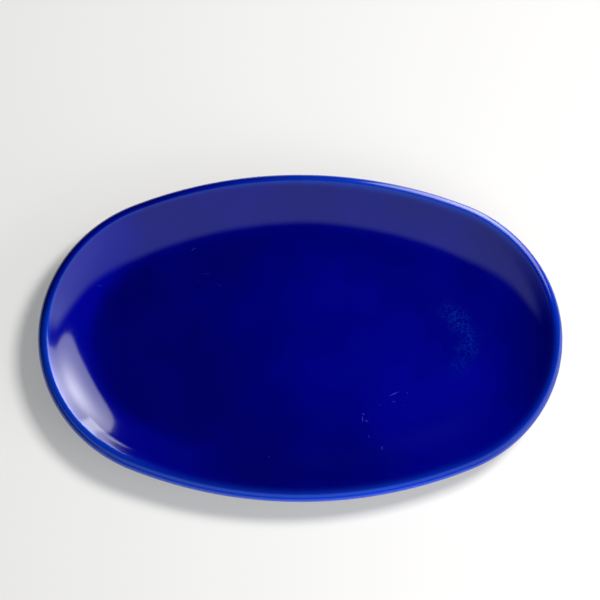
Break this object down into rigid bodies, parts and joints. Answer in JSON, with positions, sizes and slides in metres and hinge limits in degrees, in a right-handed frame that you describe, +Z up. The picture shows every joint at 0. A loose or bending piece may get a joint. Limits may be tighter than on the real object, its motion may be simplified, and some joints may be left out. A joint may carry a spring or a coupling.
{
  "type": "oval serving platter",
  "caption": "Oval coupe serving platter in glazed stoneware, with a flat floor, a wall that curves up all round, a rolled lip and a bare foot ring.",
  "frame": {"origin": "on the table, under the middle of the foot ring", "axes": "+X along the length, +Y across the width, +Z up out of the dish"},
  "size_m": [0.356, 0.236, 0.0295],
  "materials": {
    "stoneware": "bare fired clay, matt and slightly gritty",
    "cobalt_glaze": "glossy cobalt blue glaze"
  },
  "bodies": {
    "root": {"dish_body": "stoneware", "foot_ring": "stoneware", "glaze_coat": "cobalt_glaze", "foot_well_glaze": "cobalt_glaze"}
  },
  "joints": []
}
